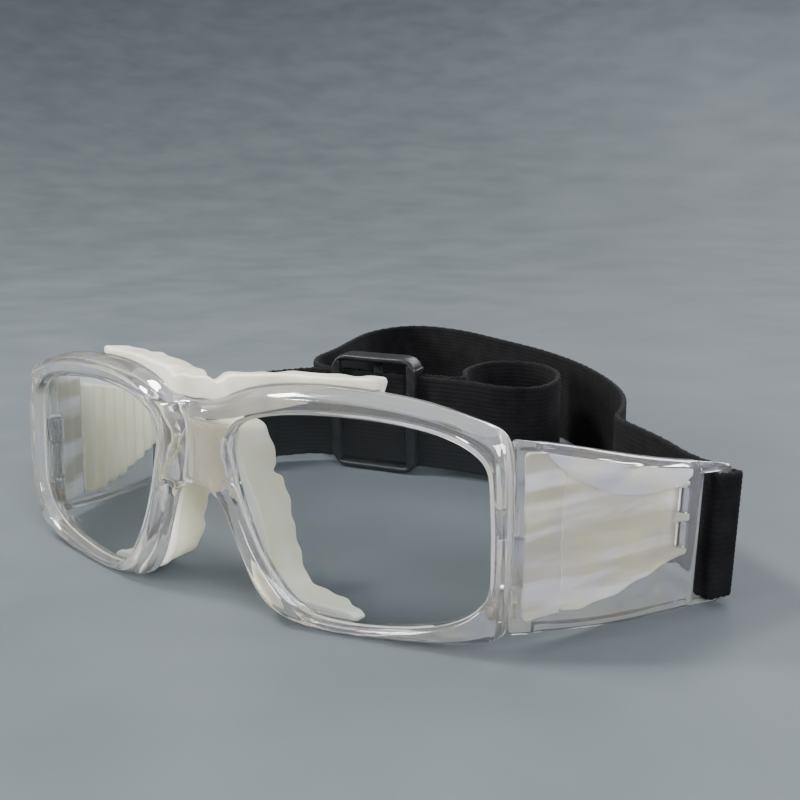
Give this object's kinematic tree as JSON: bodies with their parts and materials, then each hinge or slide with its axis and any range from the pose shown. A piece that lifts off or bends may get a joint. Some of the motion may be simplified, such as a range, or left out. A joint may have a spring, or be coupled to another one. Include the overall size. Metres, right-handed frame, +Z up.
{
  "type": "sports protective goggles",
  "caption": "Clear one-piece sports goggles with two lenses, folding side shields, silicone brow, nose and side pads, and an elastic head strap with a slider.",
  "frame": {"origin": "middle of the whole object's footprint, on the surface it lies on", "axes": "+Z up, +X towards the wearer's left, +Y from the front back along the strap, so the wearer looks along -Y"},
  "size_m": [0.1846, 0.2061, 0.0538],
  "materials": {
    "clear_frame": "clear, polished",
    "lens": "clear, coated",
    "white_silicone": "satin",
    "clear_silicone": "translucent, satin",
    "webbing": "ribbed elastic weave",
    "thread": "twisted thread",
    "slider": "moulded, semi-gloss",
    "screw": "bright",
    "insert": "machined"
  },
  "bodies": {
    "front": {"front_frame": "clear_frame", "lens_left": "lens", "lens_right": "lens", "brow_pad": "white_silicone", "nose_pad": "clear_silicone", "hinge_screw_left": "screw", "hinge_screw_right": "screw", "hinge_insert_left": "insert", "hinge_insert_right": "insert", "strap_webbing": "webbing"},
    "left_shield": {"side_shield_left": "clear_frame", "side_pad_left": "clear_silicone", "strap_anchor_left": "webbing", "bar_tack_left": "thread", "strap_run_left": "webbing"},
    "right_shield": {"side_shield_right": "clear_frame", "side_pad_right": "clear_silicone", "strap_anchor_right": "webbing", "bar_tack_right": "thread", "strap_run_right": "webbing"},
    "slider": {"strap_slider": "slider"}
  },
  "joints": [
    {"name": "left_hinge", "type": "hinge", "parent": "front", "child": "left_shield", "pos_m": [0.06085, -0.08121, 0.01869], "axis": [0, 0.0436, 0.999], "range_deg": [0, 70], "deforming": ["strap_run_left"]},
    {"name": "right_hinge", "type": "hinge", "parent": "front", "child": "right_shield", "pos_m": [-0.07425, -0.08121, 0.01869], "axis": [0, -0.0436, -0.999], "range_deg": [-12, 58], "deforming": ["strap_run_right"]},
    {"name": "slider_travel", "type": "slide", "parent": "front", "child": "slider", "axis": [0.9903, 0.1392, 0], "range_m": [0, 0.006]}
  ]
}
